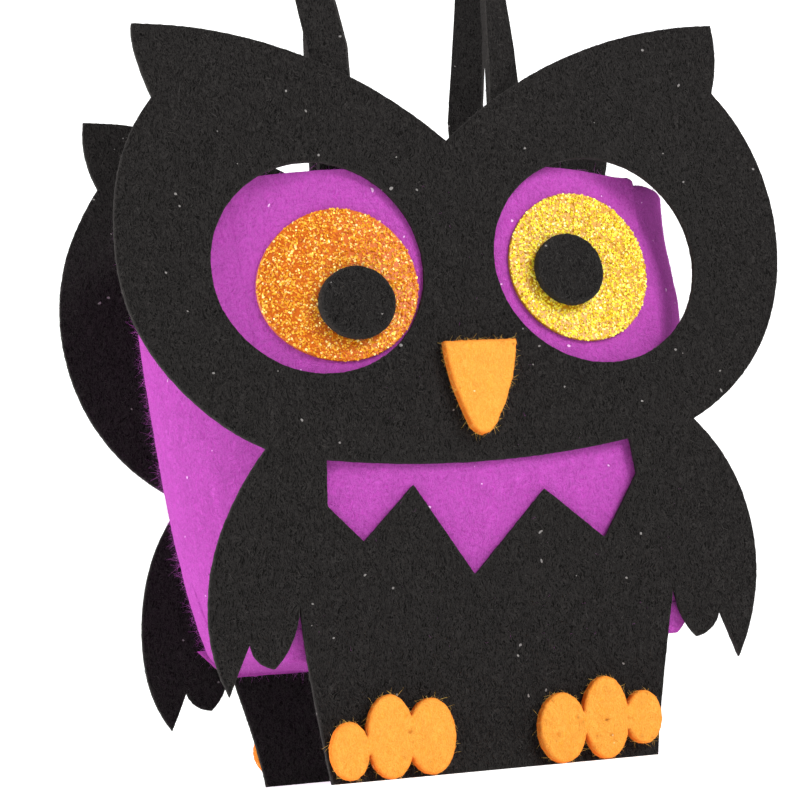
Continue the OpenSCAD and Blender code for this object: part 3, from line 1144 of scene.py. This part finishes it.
def loop_path(end):
    """The strap's middle line and turn, from one glued end to the other, in local places."""
    low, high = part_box(f"{end}_strap_left")
    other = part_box(f"{end}_strap_right")
    left_x, right_x = (low.x + high.x) / 2, (other[0].x + other[1].x) / 2
    if end == "rear":
        left_x, right_x = -right_x, -left_x
    middle, span = (left_x + right_x) / 2, right_x - left_x
    top = HANDLE_TOP - POUCH_T / 2
    knots = [np.array(p) for p in (
        (-span / 2, LOOP_FOOT_Z), (-span / 2 - LOW_FLARE, LOOP_FOOT_Z + LOW_FLARE_RISE),
        (-span / 2 - TOP_FLARE, HANDLE_TOP), (0, top))]
    rising = [(-span / 2, z) for z in np.arange(STRAP_FOOT_Z, LOOP_FOOT_Z, 1.5 * MM)]
    steps = np.linspace(0, 1, 60)
    half = rising + [tuple(bezier(t, *knots)) for t in steps]
    turns = [FOOT_TURN * float(smooth((z - RIM_Z) / (LOOP_FOOT_Z - RIM_Z))) for _, z in rising]
    turns += [FOOT_TURN + (math.pi / 2 - FOOT_TURN) * math.sin(math.pi / 2 * t) for t in steps]
    path = half + [(-x, z) for x, z in half[-2::-1]]
    turns = turns + turns[-2::-1]
    lean = HANDLE_LEANS[end] / (HANDLE_TOP - LOOP_FOOT_Z)
    path = [(middle + x + lean * max(z - LOOP_FOOT_Z, 0), z) for x, z in path]
    return np.array(path), np.array(turns)


def strap(end):
    """Local points, faces and wall mask of the felt strap, swept along its loop."""
    path, turns = loop_path(end)
    count = len(path)
    along = np.gradient(path, axis=0)
    along /= np.linalg.norm(along, axis=1)[:, None]
    half_w, half_t, rounding = STRAP_W / 2, POUCH_T / 2, 0.35 * MM
    across = np.linspace(-half_w + rounding, half_w - rounding, 9)
    bends = [(rounding * (1 - math.sin(a)), rounding * (1 - math.cos(a)))
             for a in np.linspace(0, math.pi / 2, 4)]
    section = []
    for sign in (1, -1):
        section += [(sign * s, sign * half_t, 0) for s in across]
        section += [(sign * (half_w - near), sign * (half_t - far), 1) for near, far in bends[1:]]
        section += [(sign * (half_w - far), sign * (near - half_t), 1) for near, far in bends[:-1]]
    width = len(section)
    points, wall = [], []
    for i in range(count):
        direction = np.array([along[i, 0], 0, along[i, 1]])
        outward = np.array([-direction[2], 0, direction[0]])
        face = -math.cos(turns[i]) * np.array([0, 1, 0]) + math.sin(turns[i]) * outward
        side = np.cross(direction, face)
        here = np.array([path[i, 0], STRAP_Y, path[i, 1]])
        for s, t, edge in section:
            wobble = 0.10 * MM * noise.noise(Vector((here[0] / MM + s / MM, i * 0.5, t / MM)))
            points.append(here + side * (s + edge * wobble) + face * (t + wobble))
            wall.append(float(edge))
    faces = []
    for i in range(count - 1):
        first, then = i * width, (i + 1) * width
        faces += band(range(first, then), range(then, then + width))
    faces.append(tuple(range(width - 1, -1, -1)))
    faces.append(tuple((count - 1) * width + k for k in range(width)))
    return np.array(points), faces, wall


class OWLBAG_OT_handles(bpy.types.Operator):
    """Make the two strap handles, each one strip from end to end"""

    bl_idname = "owl_bag.handles"
    bl_label = "Handles"

    def execute(self, context):
        for end in ENDS:
            points, faces, wall = strap(end)
            points[:, 1] += panel_bow(points[:, 2]) + sheet_stand(points[:, 0], points[:, 2], end)
            piece = mesh_piece(f"{end}_strap", in_world(points, end), faces, wall)
            loose = finish_felt(piece, "black", 1300, 1.1 * MM, 0.032 * MM, 97, 0.35, 0.5)
            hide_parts(f"{end}_handle", f"{end}_strap_left", f"{end}_strap_right")
            for part in (piece, loose):
                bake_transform(part)
        return {"FINISHED"}


# ---------------------------------------------------------------- stage


CAMERA_AT = (-0.1590, -0.4958, 0.0074)
CAMERA_LOOKS = (0.2934, 0.9450, 0.1446)
CAMERA_UP = (0.0426, -0.1640, 0.9855)
CAMERA_LENS = 105.0


class OWLBAG_OT_stage(bpy.types.Operator):
    """Make the pale floor, the soft lights and the camera"""

    bl_idname = "owl_bag.stage"
    bl_label = "Stage"

    def execute(self, context):
        self.floor()
        self.lights(context.scene)
        self.camera(context.scene)
        return {"FINISHED"}

    def floor(self):
        """A sheet that lies flat under the bag and curves up far behind it."""
        radius, reach, high, wide = 1.2, 3.0, 4.0, 6.0
        profile = [(-3.0, 0.0), (reach, 0.0)]
        profile += [(reach + radius * math.sin(a), radius * (1 - math.cos(a)))
                    for a in np.linspace(0, math.pi / 2, 17)[1:]]
        profile += [(reach + radius, high)]
        points = [(side * wide, y, z) for y, z in profile for side in (-1, 1)]
        faces = [(2 * i, 2 * i + 1, 2 * i + 3, 2 * i + 2) for i in range(len(profile) - 1)]
        floor = mesh_piece("floor", points, faces)
        material, tree, shader = new_material("floor_paper")
        grain = tree.noise(tree.place(), 40.0, 3.0)
        shade = tree.blend(grain, (0.90, 0.90, 0.90, 1), (0.93, 0.93, 0.93, 1))
        tree.feed(
            shader, Base_Color=shade, Roughness=0.9, Specular_IOR_Level=0.1,
            Emission_Color=(1, 1, 1, 1), Emission_Strength=0.62)
        dress(floor, material)

    def lights(self, scene):
        world = bpy.data.worlds.new("studio")
        scene.world = world
        world.use_nodes = True
        background = world.node_tree.nodes["Background"]
        background.inputs["Color"].default_value = (1, 1, 1, 1)
        background.inputs["Strength"].default_value = 0.45
        for name, at, size, power in (
                ("key", (0.8, -1.3, 0.95), 0.8, 30.0), ("side", (-1.5, 0.35, 0.45), 0.9, 26.0)):
            lamp = bpy.data.lights.new(name, "AREA")
            lamp.energy, lamp.size = power, size
            light = bpy.data.objects.new(name, lamp)
            light.location = at
            aim = Vector((0, 0, 0.08)) - Vector(at)
            light.rotation_euler = aim.to_track_quat("-Z", "Y").to_euler()
            scene.collection.objects.link(light)

    def camera(self, scene):
        lens = bpy.data.cameras.new("camera")
        lens.lens, lens.sensor_width = CAMERA_LENS, 36.0
        lens.clip_start, lens.clip_end = 0.01, 20.0
        camera = bpy.data.objects.new("camera", lens)
        looks = Vector(CAMERA_LOOKS).normalized()
        across = looks.cross(Vector(CAMERA_UP)).normalized()
        up = across.cross(looks)
        turn = Matrix((across, up, -looks)).transposed().to_4x4()
        camera.matrix_world = Matrix.Translation(CAMERA_AT) @ turn
        scene.collection.objects.link(camera)
        scene.camera = camera
        scene.view_settings.view_transform = "Standard"


# ---------------------------------------------------------------- panel in the sidebar


class OWLBAG_PT_sidebar(bpy.types.Panel):
    """The bag's sizes and colours, and a button for each group of pieces"""

    bl_idname = "OWLBAG_PT_sidebar"
    bl_label = "Felt owl bag"
    bl_space_type = "VIEW_3D"
    bl_region_type = "UI"
    bl_category = "Owl Bag"

    def draw(self, context):
        for settings in (context.scene.owl_bag_sizes, context.scene.owl_bag_colours):
            box = self.layout.box()
            for name in settings.bl_rna.properties.keys():
                if name not in ("rna_type", "name"):
                    box.prop(settings, name)
        for operator in OPERATORS:
            self.layout.operator(operator.bl_idname)


OPERATORS = (
    OWLBAG_OT_panels, OWLBAG_OT_pouch, OWLBAG_OT_eyes, OWLBAG_OT_trim, OWLBAG_OT_handles,
    OWLBAG_OT_stage)
CLASSES = (OwlBagSizes, OwlBagColours, *OPERATORS, OWLBAG_PT_sidebar)


def register():
    for made in CLASSES:
        bpy.utils.register_class(made)
    bpy.types.Scene.owl_bag_sizes = bpy.props.PointerProperty(type=OwlBagSizes)
    bpy.types.Scene.owl_bag_colours = bpy.props.PointerProperty(type=OwlBagColours)


def unregister():
    del bpy.types.Scene.owl_bag_colours
    del bpy.types.Scene.owl_bag_sizes
    for made in reversed(CLASSES):
        bpy.utils.unregister_class(made)


def main():
    register()
    bpy.ops.owl_bag.stage()
    bpy.ops.owl_bag.panels()
    bpy.ops.owl_bag.pouch()
    bpy.ops.owl_bag.eyes()
    bpy.ops.owl_bag.trim()
    bpy.ops.owl_bag.handles()


if __name__ == "__main__":
    main()
